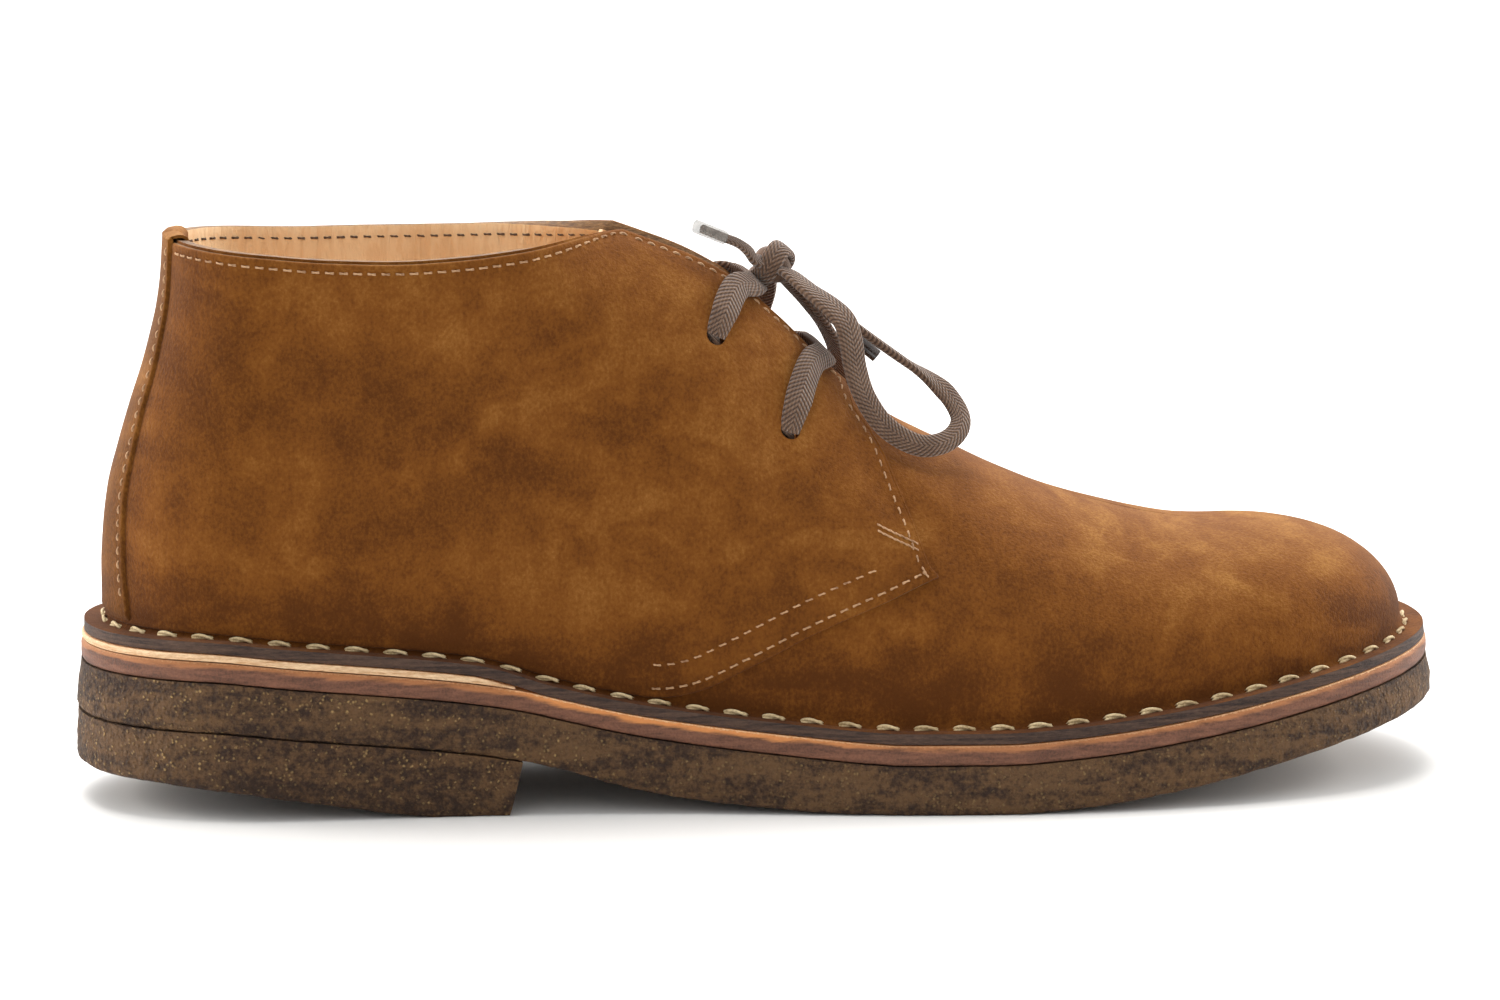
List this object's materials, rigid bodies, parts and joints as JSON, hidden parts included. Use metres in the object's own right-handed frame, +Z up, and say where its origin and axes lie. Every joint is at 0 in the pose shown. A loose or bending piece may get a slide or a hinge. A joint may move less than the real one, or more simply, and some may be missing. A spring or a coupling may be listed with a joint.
{
  "type": "desert boot",
  "caption": "Right ankle-high suede desert boot on a layered crepe sole with a heel lift, flat laces tied in a bow over an open-topped shaft.",
  "frame": {"origin": "middle of the sole's outline, on the floor", "axes": "+X towards the toe, +Y towards the inner side of the foot, +Z up from the floor"},
  "size_m": [0.3137, 0.1104, 0.1289],
  "materials": {
    "outsole": "dull natural crepe rubber, coarse grained",
    "heel": "dull natural crepe rubber, coarse grained",
    "midsole": "cut leather edge, sanded and stained",
    "heel_rand": "light natural leather strip",
    "insole": "smooth tan leather",
    "upper": "brown suede, matt and mottled",
    "tongue": "brown suede, light rough inside",
    "lace_lower": "flat woven lace, matt",
    "lace_upper": "flat woven lace, matt",
    "lace_knot": "flat woven lace, matt",
    "lace_loop_outer": "flat woven lace, matt",
    "lace_loop_inner": "flat woven lace, matt",
    "lace_end_outer": "flat woven lace, matt",
    "lace_end_inner": "flat woven lace, matt",
    "lace_tip_outer": "dark clear film, glossy",
    "lace_tip_inner": "dark clear film, glossy"
  },
  "bodies": {
    "root": {"outsole": "outsole", "heel": "heel", "midsole": "midsole", "heel_rand": "heel_rand", "insole": "insole", "upper": "upper", "tongue": "tongue", "lace_lower": "lace_lower", "lace_upper": "lace_upper", "lace_knot": "lace_knot", "lace_loop_outer": "lace_loop_outer", "lace_loop_inner": "lace_loop_inner", "lace_end_outer": "lace_end_outer", "lace_end_inner": "lace_end_inner", "lace_tip_outer": "lace_tip_outer", "lace_tip_inner": "lace_tip_inner"}
  },
  "joints": []
}
